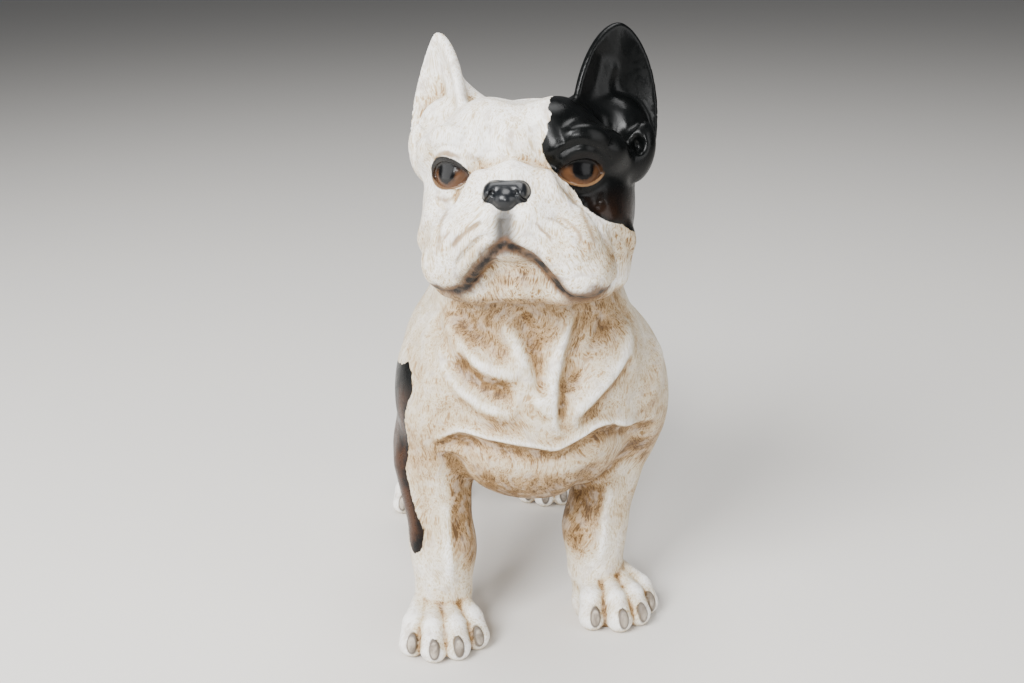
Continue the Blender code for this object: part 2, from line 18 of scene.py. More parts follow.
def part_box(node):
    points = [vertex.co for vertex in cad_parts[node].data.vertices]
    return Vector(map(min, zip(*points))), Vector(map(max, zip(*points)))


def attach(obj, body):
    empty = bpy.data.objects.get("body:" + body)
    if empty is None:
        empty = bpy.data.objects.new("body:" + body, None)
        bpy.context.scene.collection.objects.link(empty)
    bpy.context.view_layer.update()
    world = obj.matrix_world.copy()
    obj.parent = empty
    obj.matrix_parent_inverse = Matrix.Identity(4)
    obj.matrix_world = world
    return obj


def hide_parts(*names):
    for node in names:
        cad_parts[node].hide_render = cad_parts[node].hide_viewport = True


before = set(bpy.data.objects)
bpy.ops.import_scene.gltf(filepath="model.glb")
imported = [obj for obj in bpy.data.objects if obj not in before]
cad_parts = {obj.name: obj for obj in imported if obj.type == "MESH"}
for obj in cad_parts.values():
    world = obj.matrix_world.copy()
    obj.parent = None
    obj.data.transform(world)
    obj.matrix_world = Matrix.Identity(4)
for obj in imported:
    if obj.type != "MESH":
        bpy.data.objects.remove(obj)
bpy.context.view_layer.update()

STANDING_CUT = 0.0  # the plane that trims the soles flat

HEAD_CENTRE = Vector((3.5, -83.0, 300.0))
HEAD_TURN = math.radians(19.5)  # towards the dog's right
HEAD_LIFT = math.radians(10.0)
HEAD_TILT = math.radians(1.5)  # the dog's right ear is the lower one

CHEST_SHELF = (
    (-56, -80, 138), (-43, -91, 148), (-34, -98, 149), (-19, -108, 147), (-1, -113, 144),
    (13, -113, 141), (27, -112, 147), (40, -108, 152), (50, -103, 150), (66, -87, 144),
    (82, -76, 141),
)

MOUTH = (  # from the middle to the dog's left corner, in the head's frame
    (0, -64, -33), (9, -58, -42), (18, -55, -50), (27, -47, -60), (37, -42, -65), (49, -30, -63),
)
MOUTH_LEAN = -2.8  # how far the middle of the mouth lies to the dog's right
NOSE_LEAN = -1.5
PHILTRUM = ((-1.5, -70, -20), (-2.2, -68, -26), (-2.8, -64, -35))

SIDES = (-1, 1)
EYE_BALLS = {-1: (-31.6, -28.6, 0.4), 1: (29.8, -28.6, 1.9)}  # centres, in the head's frame
EYE_RADII = (15.5, 14.0, 13.5)
EYE_WIDTH = 26.0  # the opening, between the corners
EYE_OUTWARD = 32.0  # degrees that each eye is turned outwards
UPPER_LID = 9.2  # how far the opening rises above the corners
LOWER_LID = 6.6
EYE_ROUND = 1.35  # 1 makes a pointed almond, 2 an oval
LID = 2.1  # thickness of the lids
TOES = ((-21.5, 25), (-8.2, 35), (7.6, 35), (21.5, 25))  # across and ahead of the heel
SPREAD_TOES = ((-18.5, 26), (-2, 35), (13, 32), (24, 21))
PAWS = (  # heel, turn in degrees, size and toes
    ((-57, -74), 0, 0.94, TOES),
    ((53, -63), 10, 0.94, SPREAD_TOES),
    ((-48, 118), 0, 0.86, TOES),
    ((49, 116), 0, 0.86, TOES),
)
STROKE_TAPER = 0.22  # share of a stroke's length over which each end fades
LEAF_FOOT = 0.3  # how far an ear reaches below its base, as a share of its length
LEAF_FOLD = 1.6  # how sharply an ear folds along its middle: 1 is a crease, 2 is a round trough
LEAF_CLOSE = 0.55  # how much shallower the ear is at its tip
LEAF_EDGE = 0.4  # how round an ear's rim is, as a share of its thickness
BLEND_REACH = 14.0  # how far outside a shape its distance is still asked for
LARGEST_STEP = 3.0  # how far a point of the skin moves at once

# The grain of the skin, in figure millimetres
FIRST_VOXEL = 2.6
FINE_VOXEL = 1.35
SKIN_TRIANGLES = 196000
BROW_PASSES = 45

# The camera that took the photograph, worked out from the table's edge and the paws
CAMERA_PLACE = (-0.1277, -0.8029, 0.4616)
CAMERA_LENS = 45.70
CAMERA_PITCH = math.radians(20.0)
CAMERA_YAW = math.radians(9.0)
CAMERA_ROLL = math.radians(1.2)
FLOOR_REACH = 12.0  # metres from the middle to the floor's edges

# What the paint reads from the skin
PAINT_VALUES = (
    "white_and_shade", "on_head", "dark", "crease", "grey", "black", "brown_on_black", "nose", "nail", "rim", "eye_x",
    "eye_z",
)
HAIR_LAYS = (  # turn, stretch and scale of each lay of brush hairs
    ((0.0, 0.0, 0.0), (1.0, 1.0, 0.12), 470.0),
    ((0.3, 0.5, 0.2), (1.0, 1.0, 0.15), 430.0),
    ((0.2, -0.65, 0.6), (1.0, 1.0, 0.17), 520.0),
)
WHITE_COATS = (  # from bare tan to the thickest white
    (0.0, "#523818"),
    (0.18, "#7f6038"),
    (0.36, "#aa8e68"),
    (0.54, "#c5b496"),
    (0.74, "#dcd3c1"),
    (1.0, "#f8f6f2"),
)

# Brown lines of the brush on the face, in the head's frame, each with its width and strength
BRUSHED_LINES = (
    (((18, -66, -19), (26, -62, -22), (33, -62, -27)), 1.3, 0.7),
    (((14, -67, -22), (20, -65, -28), (24, -65, -34)), 1.0, 0.9),
    (((25, -60, -19), (35, -61, -26), (39, -61, -36)), 1.6, 0.8),
    (((-13, -67, -22), (-23, -64, -28), (-32, -64, -37)), 1.6, 0.9),
    (((-13, -65, -29), (-23, -65, -36), (-30, -62, -45)), 1.1, 0.7),
    (((-31, -62, -28), (-36, -61, -34), (-39, -61, -40)), 1.3, 0.7),
    (((-24, -43, 1), (-32, -41, -8), (-36, -51, -19), (-38, -61, -31), (-41, -59, -44)), 2.2, 0.75),
    (((24, -54, -1), (32, -44, -12), (42, -57, -25), (46, -55, -37)), 2.4, 0.75),
    (((-47, -32, -11), (-38, -39, -13), (-29, -43, -7)), 1.6, 0.7),
    (((-47, -35, 8), (-38, -45, 13), (-27, -45, 9)), 1.8, 0.9),
    (((-20, -44, 25), (-14, -43, 27), (-7, -44, 26)), 3.0, 0.45),
    (((0, -43, 28), (-2, -47, 19), (3, -47, 10)), 3.2, 0.5),
    (((-29, -45, 13), (-20, -45, 10), (-11, -54, 4)), 2.6, 0.6),
)

# Borders of the black paint, in millimetres
HEAD_PATCH = (
    (15, 70), (18, 40), (17, 36), (20, 33), (18, 28), (18, 22), (15, 17), (16, 12), (18, 7),
    (22, 2), (28, -3), (34, -11), (38, -17), (45, -22), (50, -25), (56, -27), (62, -32), (70, -38),
    (140, -38), (140, 120), (15, 120),
)
SHOULDER_PATCH = (
    (-50, 177), (-59, 182), (-66, 177), (-71, 167), (-68, 157), (-62, 140), (-64, 120), (-68, 100),
    (-72, 84), (-76, 71), (-78, 62), (-74, 57), (-66, 61), (-58, 76), (-48, 96), (-34, 112),
    (-16, 118), (4, 128), (18, 146), (16, 158), (-10, 166), (-34, 174),
)

# Settings that many nodes share: a smooth ramp between two values, and a mix of two colours
SMOOTH = {"interpolation_type": "SMOOTHSTEP"}
TINT = {"output": 2, "data_type": "RGBA"}


def turned(degrees_xyz):
    """A 3 x 3 rotation from degrees about X, Y and Z."""
    return np.array(Euler([math.radians(a) for a in degrees_xyz]).to_matrix())


def lump(centre, radii, turn=(0, 0, 0), soft=8.0):
    """An ellipsoid of clay, blended into the rest over the width soft."""
    return {
        "centre": np.array(centre, float),
        "radii": np.array(radii, float),
        "axes": turned(turn),
        "soft": soft,
        "reach": max(radii),
        "dig": False,
    }


def roll(start, end, start_radius, end_radius, soft=8.0):
    """A tapered roll of clay with round ends."""
    start, end = np.array(start, float), np.array(end, float)
    return {
        "start": start,
        "end": end,
        "ends": (start_radius, end_radius),
        "centre": (start + end) / 2,
        "soft": soft,
        "reach": np.linalg.norm(end - start) / 2 + max(start_radius, end_radius),
        "dig": False,
    }


def rolls(points, radii, soft=8.0):
    """A limb of several rolls end to end."""
    pairs = zip(points, points[1:], radii, radii[1:])
    return [roll(a, b, ra, rb, soft) for a, b, ra, rb in pairs]


def dug(shape):
    """The same shape as a hollow."""
    return {**shape, "dig": True}


def leaf(base, length, half_width, cup, thickness, point, turn=(0, 0, 0), soft=4.0):
    """A cupped leaf that stands up from its base, hollow towards -y.

    The two powers in point shape its outline: 2 and 2 is an ellipse, and less is sharper.
    """
    axes = turned(turn)
    return {
        "leaf": (length, half_width, cup, thickness),
        "point": point,
        "base": np.array(base, float),
        "centre": np.array(base, float) + axes @ np.array((0, 0, length / 2)),
        "axes": axes,
        "soft": soft,
        "reach": math.hypot(length / 2, half_width) + cup,
        "dig": False,
    }


def placed(shape, origin, axes, size=1.0):
    """A shape given in a local frame, sized and moved into the figure's frame."""
    moved = dict(shape)
    for key in ("centre", "start", "end", "base"):
        if key in shape:
            moved[key] = origin + size * (axes @ shape[key])
    for key in ("radii", "ends", "leaf"):
        if key in shape:
            moved[key] = size * np.array(shape[key])
    if "axes" in shape:
        moved["axes"] = axes @ shape["axes"]
    moved["reach"] = size * shape["reach"]
    moved["soft"] = size * shape["soft"]
    return moved


def head_frame():
    """Origin and axes of the head: x to the dog's left, y backwards, z up."""
    axes = Matrix.Rotation(-HEAD_TURN, 3, "Z") @ Matrix.Rotation(-HEAD_LIFT, 3, "X")
    axes = axes @ Matrix.Rotation(-HEAD_TILT, 3, "Y")
    return np.array(HEAD_CENTRE), np.array(axes)


def leaf_distance(points, shape):
    """Signed distance to a leaf: its outline and its cupped sheet, rounded together."""
    length, half_width, cup, thickness = shape["leaf"]
    local = (points - shape["base"]) @ shape["axes"]
    across = local[:, 0] / half_width
    up = np.clip(local[:, 2] / length, 0, 2)
    down = np.clip(-local[:, 2] / (LEAF_FOOT * length), 0, 2)
    wide, tall = shape["point"]
    reach = np.abs(across)
    level = reach**wide + up**tall + down**2 - 1
    rise = tall * up ** (tall - 1) / length + 2 * down / (LEAF_FOOT * length)
    slope = np.hypot(wide * reach ** (wide - 1) / half_width, rise)
    outline = level / np.maximum(slope, 1 / half_width)
    cup = cup * (1 - LEAF_CLOSE * np.minimum(up, 1))
    depth = cup * (1 - reach**LEAF_FOLD)
    lean = np.hypot(1, LEAF_FOLD * cup * reach ** (LEAF_FOLD - 1) / half_width)
    sheet = (np.abs(local[:, 1] - depth) - thickness / 2) / lean
    edge = thickness * LEAF_EDGE
    out, off = np.maximum(outline + edge, 0), np.maximum(sheet + edge, 0)
    return np.minimum(np.maximum(outline, sheet) + edge, 0) + np.hypot(out, off) - edge


def almond_distance(seen):
    """Signed distance to the outline of an eye's opening, seen from the front, negative inside.

    The places are measured from the ball's centre, with x towards the outer corner.
    """
    half = EYE_WIDTH / 2
    x, z = seen[:, 0], seen[:, 2]
    height = np.where(z > 0, UPPER_LID, LOWER_LID)
    level = (x / half) ** 2 + (np.abs(z) / height) ** EYE_ROUND - 1
    rise = EYE_ROUND * (np.abs(z) / height) ** (EYE_ROUND - 1) / height
    return level / np.maximum(np.hypot(2 * x / half**2, rise), 0.5 / half)


def shape_distance(points, shape):
    """Signed distance from each point to one shape, negative inside."""
    if "leaf" in shape:
        return leaf_distance(points, shape)
    if "start" in shape:
        along = shape["end"] - shape["start"]
        away = points - shape["start"]
        share = np.clip(away @ along / (along @ along), 0, 1)
        first, last = shape["ends"]
        gap = np.linalg.norm(away - share[:, None] * along, axis=1)
        return gap - (first + share * (last - first))
    local = (points - shape["centre"]) @ shape["axes"]
    scaled = np.linalg.norm(local / shape["radii"], axis=1)
    slope = np.linalg.norm(local / shape["radii"] ** 2, axis=1)
    gap = scaled * (scaled - 1) / np.maximum(slope, 1e-9)
    if "opening" in shape:
        opening = almond_distance(local * (shape["opening"], 1, 1))
        gap = -blended(-gap, opening, LID / 2)
    return gap


def blended(first, second, soft):
    """The smaller of two distances, with a fillet of width soft."""
    overlap = np.maximum(soft - np.abs(first - second), 0) / soft
    return np.minimum(first, second) - overlap**2 * soft / 4


def clay_distance(points, shapes):
    """Signed distance to the whole blended figure, good near its surface."""
    found = np.full(len(points), 1e3)
    for shape in shapes:
        gaps = np.linalg.norm(points - shape["centre"], axis=1)
        near = np.nonzero(gaps < shape["reach"] + shape["soft"] + BLEND_REACH)[0]
        if not len(near):
            continue
        gap = shape_distance(points[near], shape)
        if shape["dig"]:
            found[near] = -blended(-found[near], gap, shape["soft"])
        else:
            found[near] = blended(found[near], gap, shape["soft"])
    return found


def torso():
    """Ribcage, chest, neck, loin, rump and tail."""
    shapes = [
        lump((6, -10, 158), (60, 88, 58), soft=20),
        lump((9, -66, 137), (58, 46, 47), soft=20),
        lump((13, -66, 178), (65, 50, 46), soft=20),
        lump((8, 0, 184), (45, 82, 42), soft=20),
        lump((3, 62, 156), (42, 76, 45), soft=20),
        lump((1, 98, 158), (42, 54, 50), soft=18),
        roll((9, -44, 205), (5, -62, 258), 60, 53, soft=22),
    ]
    shapes += rolls([(0, 136, 182), (0, 155, 174), (2, 162, 160)], [14, 11, 7], soft=10)
    return shapes


def front_leg(side, shoulder, elbow, wrist, heel):
    """Shoulder, upper arm, forearm and wrist of one front leg."""
    shapes = [
        lump(shoulder, (28, 43, 50), turn=(-14, -side * 6, 0), soft=14),
        lump((elbow[0] + side * 3, elbow[1] + 22, elbow[2] + 6), (20, 20, 24), soft=14),
    ]
    shapes += rolls([elbow, wrist, heel], [24.5, 18.5, 18.5], soft=12)
    back_of_elbow = (elbow[0] - side * 6, elbow[1] + 14, elbow[2] - 14)
    back_of_wrist = (wrist[0] - side * 5, wrist[1] + 20, wrist[2] - 8)
    shapes.append(roll(back_of_elbow, back_of_wrist, 15, 9, soft=8))
    shapes.append(lump((heel[0], heel[1] + 17, heel[2] + 14), (8, 6, 8), soft=5))
    return shapes


def hind_leg(side):
    """Thigh, shank, hock and pastern of one hind leg."""
    shapes = [
        lump((side * 37, 88, 122), (25, 45, 50), turn=(18, 0, 0), soft=14),
        lump((side * 43, 68, 102), (21, 24, 28), soft=14),
    ]
    shank = [(side * 45, 78, 92), (side * 48, 128, 62), (side * 49, 138, 52)]
    shapes += rolls(shank, [23, 14, 12], soft=10)
    shapes += rolls([(side * 49, 138, 52), (side * 49, 120, 20)], [12, 13], soft=8)
    return shapes


def paw_placed(shapes, heel, turn, size):
    """A paw's shapes, which point along -y from the heel, set where the paw stands."""
    axes = np.array(Matrix.Rotation(math.radians(turn), 3, "Z"))
    return [placed(shape, np.array((*heel, 0.0)), axes, size) for shape in shapes]


def paw_nails(heel, turn, size, toes):
    """The four flat almond nails on the fronts of the toes."""
    nails = []
    for across, ahead in toes:
        middle = (across * 1.03, -ahead - 6.4, 12)
        nails.append(lump(middle, (3.4, 2.6, 7.0), turn=(-14, 0, across * 1.2), soft=0.6))
    return paw_placed(nails, heel, turn, size)


def paw(heel, turn, size, toes):
    """Pad, toes and nails of one paw."""
    shapes = [lump((0, -8, 8), (25, 26, 17), soft=8)]
    moats = []
    for across, ahead in toes:
        bend = (across * 0.88, -ahead * 0.74, 19)
        shapes.append(roll((across * 0.55, -ahead * 0.1, 26), bend, 7, 8.2, soft=3))
        shapes.append(roll(bend, (across, -ahead + 1, 8), 8.2, 9.2, soft=2))
        middle = (across * 1.03, -ahead - 8.8, 12)
        moats.append(dug(lump(middle, (4.9, 2.6, 8.6), turn=(-14, 0, across * 1.2), soft=1)))
    return paw_placed(shapes + moats, heel, turn, size) + paw_nails(heel, turn, size, toes)


def skull():
    """Cranium, brow, cheeks and jaw, in the head's frame."""
    shapes = [
        lump((0, 8, 0), (57, 54, 40), soft=16),
        lump((0, -6, 20), (47, 40, 20), soft=14),
        lump((0, 20, -20), (54, 48, 44), soft=16),
    ]
    for side in SIDES:
        shapes.append(lump((side * 37, -4, -25), (22, 36, 34), soft=14))
        shapes.append(lump((side * 33, -24, 15), (19, 15, 10), soft=14))
        shapes.append(lump((side * 19, -20, 30), (15, 20, 12), soft=10))
        jaw = [(45, -26, -24), (51, -12, -38), (47, -10, -54), (34, -20, -62)]
        shapes += rolls([(side * x, y, z) for x, y, z in jaw], [8, 9, 10, 9], soft=9)
    return shapes


def muzzle():
    """Nose bridge, nose roll, flews and chin, in the head's frame."""
    shapes = [
        lump((0, -40, -22), (36, 26, 24), soft=12),
        lump((0, -31, -50), (28, 13, 17), soft=5),
    ]
    for side in SIDES:
        drop = 1.5 * side
        chin = [(0, -35, -60), (side * 24, -31, -62), (side * 43, -20, -61)]
        shapes += rolls(chin, [8.5, 8.5, 7], soft=6)
        shapes += rolls([(side * 9, -55, -20), (side * 36, -43, -48 - drop)], [13, 16], soft=3.5)
        shapes.append(lump((side * 30, -46, -34), (18, 18, 17), turn=(0, side * 40, 0), soft=6))
        shapes.append(lump((side * 42, -36, -48 - drop), (10, 18, 13.5), soft=5))
        nose_roll = [(0, -52, -1), (20, -48, -5), (34, -41, -20), (44, -37, -38), (49, -34, -52)]
        shapes += rolls([(side * x, y, z) for x, y, z in nose_roll], [9, 8, 7, 6, 5], soft=5)
    return shapes


def nose():
    """The nose pad with its wings and nostrils, in the head's frame."""
    middle = NOSE_LEAN
    shapes = [
        roll((middle - 7.4, -61.5, -5.8), (middle + 7.4, -61.5, -5.8), 4.5, 4.5, soft=2),
        lump((middle, -63, -10.8), (7, 7.5, 6), soft=2),
    ]
    for side in SIDES:
        shapes.append(lump((middle + side * 8.2, -61.5, -8), (4.2, 6.8, 4.8), soft=1.5))
    for side in SIDES:
        shapes.append(dug(lump((middle + side * 6.4, -69, -7), (1.8, 3.6, 2.2), soft=0.8)))
        slit = ((middle + side * 7.6, -68.5, -8.8), (middle + side * 11.5, -63, -12.4))
        shapes.append(dug(roll(*slit, 1.2, 1, soft=0.8)))
    return shapes


def eye(side):
    """Socket, lids and eyeball, in the head's frame."""
    ball = EYE_BALLS[side]
    outward = (0, 0, side * EYE_OUTWARD)
    lids = lump(ball, np.array(EYE_RADII) + LID, turn=outward, soft=3.5)
    lids["opening"] = side
    brow = [(side * 24, -40.5, 15), (side * 37, -37.5, 19), (side * 50, -24.5, 14), (side * 56, -12, 6)]
    return [
        dug(lump((side * 38.5, -44, 1), (16, 9, 12.5), turn=outward, soft=6)),
        lids,
        lump(ball, EYE_RADII, turn=outward, soft=0.3),
        *rolls(brow, [4, 4.5, 4.5, 5], soft=11),
    ]


def ear(side):
    """A cupped bat ear with the small pocket at its outer foot, in the head's frame."""
    dogs_left = side > 0
    length = 63.0 if dogs_left else 60.0
    outward = side * (32.5 if dogs_left else 44.5)
    cup = 14.5 if dogs_left else 18.5
    half_width = 27.2 if dogs_left else 28.0
    base = (side * (48.5 if dogs_left else 53.0), 3, 20)
    point = (1.7, 2.2) if dogs_left else (1.4, 1.8)
    trough_top = (side * 46, -3, 64) if dogs_left else (side * 52, -9, 38)
    trough_middle = ((side * 50 + trough_top[0]) / 2, -8, trough_top[2] * 0.7)
    trough = [(side * 50, -10, 22), trough_middle, trough_top]
    back, back_radius = ((43.5, 10, 58), 5.5) if dogs_left else ((-46, 8, 57), 3.5)
    lobe = side * (62.5 if dogs_left else 58.5)
    fold = [(lobe + side * 9, 9, 34), (lobe - side * 2, -5, 27), (lobe - side * 10, -11, 20)]
    return [
        lump((side * 46, 14, 20), (21, 20, 24), turn=(0, side * 20, 0), soft=12),
        roll((side * 32, 11, 32), back, 11.5, back_radius, soft=9),
        leaf(base, length, half_width, cup, 7, point, turn=(3, side * 5, outward), soft=4),
        *[dug(shape) for shape in rolls(trough, [8, 8, 4], soft=6)],
        lump((lobe, -2, 12), (10, 10, 18), turn=(0, side * 12, 0), soft=3),
        *[dug(shape) for shape in rolls(fold, [2.6, 2.8, 2.8], soft=2)],
        dug(lump((lobe + side * 0.5, -12, 15), (4, 6, 6), soft=3)),
    ]


def head():
    """Everything on the head, in the head's frame."""
    shapes = skull() + muzzle() + nose()
    for side in SIDES:
        shapes += ear(side) + eye(side)
    return shapes


def figure():
    """Every lump, roll and hollow of the dog, in the order they are laid on."""
    shapes = torso()
    shapes += front_leg(-1, (-48, -42, 158), (-55, -50, 108), (-52, -64, 56), (-53.5, -70, 28))
    shapes += front_leg(1, (71, -40, 152), (62, -46, 108), (49, -56, 56), (48.5, -60, 28))
    for side in SIDES:
        shapes += hind_leg(side)
    origin, axes = head_frame()
    shapes += [placed(shape, origin, axes) for shape in head()]
    for heel, turn, size, toes in PAWS:
        shapes += paw(heel, turn, size, toes)
    return shapes


def stroke(points, width, depth):
    """A carved line through points near the skin: a ridge, or a groove where depth is negative."""
    return {"points": np.array(points, float), "width": width, "depth": depth}


def mirrored(points):
    """The same points on the dog's other side, in the head's frame."""
    return [(-x, y, z) for x, y, z in points]


def lips(side):
    """The mouth's line from its middle to one corner, in the head's frame."""
    shares = np.linspace(1, 0, len(MOUTH))
    return [(side * x + MOUTH_LEAN * share, y, z) for (x, y, z), share in zip(MOUTH, shares)]


def stroke_weight(points, line, width):
    """How strongly each point feels a stroke: 1 on its line, fading across and at its ends."""
    best = np.full(len(points), 1e9)
    share = np.zeros(len(points))
    lengths = np.maximum(np.linalg.norm(np.diff(line, axis=0), axis=1), 1e-6)
    run = np.concatenate(([0.0], np.cumsum(lengths)))
    for start, end, before, length in zip(line, line[1:], run, lengths):
        along = np.clip((points - start) @ (end - start) / length**2, 0, 1)
        gap = np.linalg.norm(points - start - along[:, None] * (end - start), axis=1)
        nearer = gap < best
        best[nearer] = gap[nearer]
        share[nearer] = (before + along * length)[nearer] / run[-1]
    taper = np.clip(np.minimum(share, 1 - share) / STROKE_TAPER, 0, 1)
    return np.exp(-((best / width) ** 2)) * np.sin(taper * math.pi / 2) ** 0.7


def smooth_line(points, steps=5):
    """A rounder line through the same points."""
    knots = np.vstack((2 * points[0] - points[1], points, 2 * points[-1] - points[-2]))
    line = []
    for a, b, c, d in zip(knots, knots[1:], knots[2:], knots[3:]):
        for t in np.arange(steps) / steps:
            rise = 2 * b + (c - a) * t + (2 * a - 5 * b + 4 * c - d) * t**2
            line.append(0.5 * (rise + (3 * b - a - 3 * c + d) * t**3))
    line.append(points[-1])
    return np.array(line)


def on_skin(line, points):
    """The line laid down on the nearest points of the skin, then evened out."""
    nearest = [points[np.argmin(np.sum((points - place) ** 2, axis=1))] for place in line]
    laid = np.array(nearest)
    laid[1:-1] = (laid[:-2] + 2 * laid[1:-1] + laid[2:]) / 4
    return laid


def carve(mesh, strokes):
    """Presses each stroke into the skin, or raises it, along the skin's own normals.

    Gives back the strokes as they were laid on the skin.
    """
    laid = []
    for mark in strokes:
        points, normals = vertex_array(mesh), normal_array(mesh)
        line = on_skin(smooth_line(mark["points"]), points)
        laid.append({**mark, "points": line})
        low = line.min(0) - 3 * mark["width"]
        high = line.max(0) + 3 * mark["width"]
        near = np.nonzero(np.all((points > low) & (points < high), axis=1))[0]
        weight = stroke_weight(points[near], line, mark["width"])
        points[near] += (mark["depth"] * weight)[:, None] * normals[near]
        set_vertices(mesh, points)
    return laid


def body_strokes():
    """The skin folds of throat and chest, and the hollows of the legs."""
    marks = [
        ([(-6, -106, 224), (1, -111, 204), (2, -115, 186), (5, -116, 173)], 7, -5),
        ([(24, -105, 226), (17, -112, 203), (11, -117, 179), (13, -115, 146)], 5.5, 3.5),
        ([(36, -100, 222), (23, -111, 201), (17, -116, 175), (17, -114, 150)], 6, -4),
        ([(60, -86, 210), (53, -104, 188), (35, -113, 172), (18, -115, 154)], 7.5, 4.5),
        ([(47, -96, 216), (34, -110, 198), (20, -116, 174)], 7, -3.5),
        ([(62, -98, 188), (44, -110, 170), (25, -114, 154)], 7, -3.5),
        ([(88, -60, 190), (85, -70, 176), (71, -86, 156), (50, -103, 149)], 10, 4),
        ([(-46, -72, 218), (-35, -97, 197), (-23, -107, 191), (-7, -113, 189)], 7, 4),
        ([(-40, -84, 222), (-26, -101, 205), (-11, -110, 199)], 7, -3.5),
        ([(-50, -74, 206), (-45, -92, 182), (-32, -103, 171), (-10, -113, 162)], 7, 4),
        ([(-42, -91, 195), (-30, -104, 181), (-10, -114, 175)], 7, -3.5),
        ([(-52, -60, 214), (-56, -78, 184), (-50, -89, 160)], 8, 3),
        ([(-17, -103, 222), (-9, -109, 205), (-3, -114, 188), (8, -116, 162)], 5, 2.5),
        (CHEST_SHELF, 3.6, 3.2),
        ([(x, y, z - 8) for x, y, z in CHEST_SHELF], 5.5, -3.4),
        ([(-46, -84, 130), (-38, -72, 108), (-36, -60, 92)], 7, -3),
        ([(34, -105, 124), (30, -90, 102), (30, -60, 84)], 7, -3),
        ([(-50, -76, 94), (-50, -82, 70), (-52, -87, 37)], 4, 1.5),
        ([(-64, -72, 112), (-62, -77, 82), (-65, -80, 52)], 5, -1.5),
        ([(55, -72, 95), (50, -77, 63), (47, -77, 40)], 4, 1.5),
    ]
    return [stroke(*mark) for mark in marks]


def head_strokes():
    """The creases of muzzle, brow and cheeks, carved alike on both sides."""
    strokes = [
        stroke(PHILTRUM, 2.4, -2.2),
        stroke([(0, -30, 40), (0, -10, 44), (0, 14, 42)], 14, -2.5),
    ]
    paired = [
        ([(20, -44, 4), (25, -47, 12), (36, -47, 17), (47, -40, 13), (52, -32, 4)], 2.2, -1.3),
        ([(24, -46, -9), (31, -47, -13), (39, -45, -14.5), (47, -39, -11)], 2.2, -1.2),
        ([(12, -67, -23), (23, -65, -28), (31, -62, -37)], 1.8, -1.4),
        ([(11, -66, -29), (21, -63, -37), (30, -61, -47)], 1.8, -1.4),
        ([(24, -60, -18), (33, -62, -27), (40, -60, -39)], 1.8, -1.2),
        ([(0, -49, 11), (20, -46, 6), (33, -46, -6), (46, -44, -25), (54, -38, -44)], 3.2, -2.5),
        ([(12, -44, 28), (14, -46, 18), (12, -47, 10)], 4, -1.5),
        ([(26, -42, 20), (38, -40, 23), (48, -32, 18)], 4.5, 2),
        ([(28, -50, -14), (38, -45, -17), (48, -36, -12)], 3, -1.5),
        ([(50, -38, -28), (59, -26, -34), (62, -14, -46), (56, -14, -60)], 4, -1.5),
    ]
    for side in SIDES:
        strokes.append(stroke(lips(side), 3.2, -4.2))
    for points, width, depth in paired:
        strokes.append(stroke(points, width, depth))
        strokes.append(stroke(mirrored(points), width, depth))
    return strokes


def strokes():
    """Every carved stroke, in the figure's frame."""
    origin, axes = head_frame()
    moved = [{**mark, "points": origin + mark["points"] @ axes.T} for mark in head_strokes()]
    return body_strokes() + moved


def clay_mesh(shapes):
    """The solid shapes as overlapping closed shells in one mesh."""
    bm = bmesh.new()
    for shape in shapes:
        if shape["dig"]:
            continue
        if "start" in shape:
            start, end = Vector(shape["start"]), Vector(shape["end"])
            for point, radius in zip((start, end), shape["ends"]):
                where = Matrix.Translation(point)
                bmesh.ops.create_icosphere(bm, subdivisions=3, radius=radius, matrix=where)
            along = end - start
            facing = along.to_track_quat("Z", "Y").to_matrix().to_4x4()
            bmesh.ops.create_cone(
                bm,
                cap_ends=True,
                segments=24,
                radius1=shape["ends"][0],
                radius2=shape["ends"][1],
                depth=along.length,
                matrix=Matrix.Translation((start + end) / 2) @ facing,
            )
            continue
        middle, radii = shape["centre"], shape.get("radii")
        if "leaf" in shape:
            length, half_width, cup, _ = shape["leaf"]
            middle = middle + shape["axes"] @ np.array((0, cup / 2, 0))
            radii = (half_width * 0.9, cup * 0.8, length * 0.47)
        axes = Matrix(shape["axes"].tolist()).to_4x4()
        where = Matrix.Translation(Vector(middle)) @ axes @ Matrix.Diagonal((*radii, 1.0))
        bmesh.ops.create_icosphere(bm, subdivisions=4, radius=1.0, matrix=where)
    mesh = bpy.data.meshes.new("clay")
    bm.to_mesh(mesh)
    bm.free()
    return mesh


def evaluated(mesh, modifier_type, **settings):
    """The mesh that one modifier makes of this one."""
    holder = bpy.data.objects.new("holder", mesh)
    bpy.context.scene.collection.objects.link(holder)
    modifier = holder.modifiers.new(modifier_type.title(), modifier_type)
    for name, value in settings.items():
        setattr(modifier, name, value)
    graph = bpy.context.evaluated_depsgraph_get()
    made = bpy.data.meshes.new_from_object(holder.evaluated_get(graph))
    bpy.data.objects.remove(holder)
    return made


def vertex_array(mesh):
    """The mesh's points as an n x 3 array."""
    flat = np.empty(len(mesh.vertices) * 3, np.float32)
    mesh.vertices.foreach_get("co", flat)
    return flat.reshape(-1, 3).astype(float)


def normal_array(mesh):
    """The mesh's vertex normals as an n x 3 array."""
    flat = np.empty(len(mesh.vertices) * 3, np.float32)
    mesh.vertex_normals.foreach_get("vector", flat)
    return flat.reshape(-1, 3).astype(float)


def set_vertices(mesh, points):
    """Moves the mesh's vertices to these places."""
    mesh.vertices.foreach_set("co", points.astype(np.float32).ravel())
    mesh.update()


